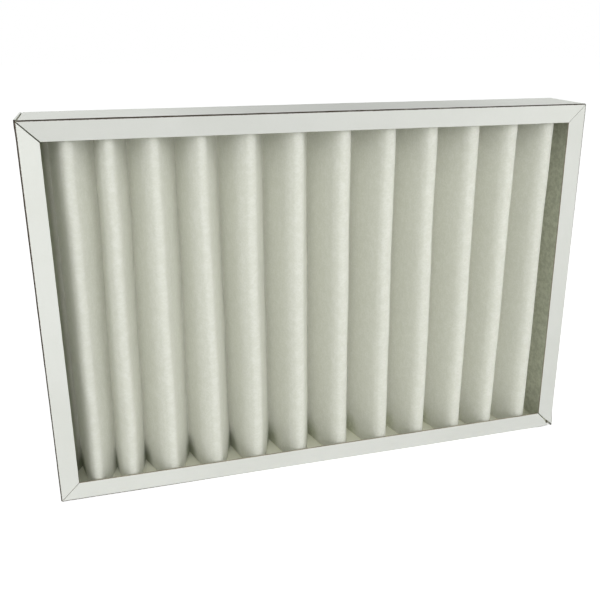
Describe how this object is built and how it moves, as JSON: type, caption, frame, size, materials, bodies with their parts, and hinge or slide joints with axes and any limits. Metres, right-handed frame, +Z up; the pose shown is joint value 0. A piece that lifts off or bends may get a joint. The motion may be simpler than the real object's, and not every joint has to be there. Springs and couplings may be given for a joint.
{
  "type": "pleated panel air filter",
  "caption": "Rectangular ventilation filter: a nonwoven sheet folded into deep upright pleats and glued into a mitred folded-card cassette frame.",
  "frame": {"origin": "middle of the cassette's underside", "axes": "+X along the width, +Y from the front face (open side with the pleat tips) to the rear face, +Z up along the pleats"},
  "size_m": [0.392, 0.048, 0.265],
  "materials": {
    "card": "white-lined solid board, matt, with grey-brown core at its cut edges and half-cut folds",
    "nonwoven": "white synthetic nonwoven wadding, soft and slightly fuzzy",
    "adhesive": "set off-white adhesive"
  },
  "bodies": {
    "root": {"frame_channel_left_bottom": "card", "frame_channel_right_top": "card", "pleated_media": "nonwoven", "bottom_pleat_adhesive": "adhesive", "top_pleat_adhesive": "adhesive", "left_edge_adhesive": "adhesive", "right_edge_adhesive": "adhesive", "lower_tab_adhesive": "adhesive", "upper_tab_adhesive": "adhesive"}
  },
  "joints": []
}
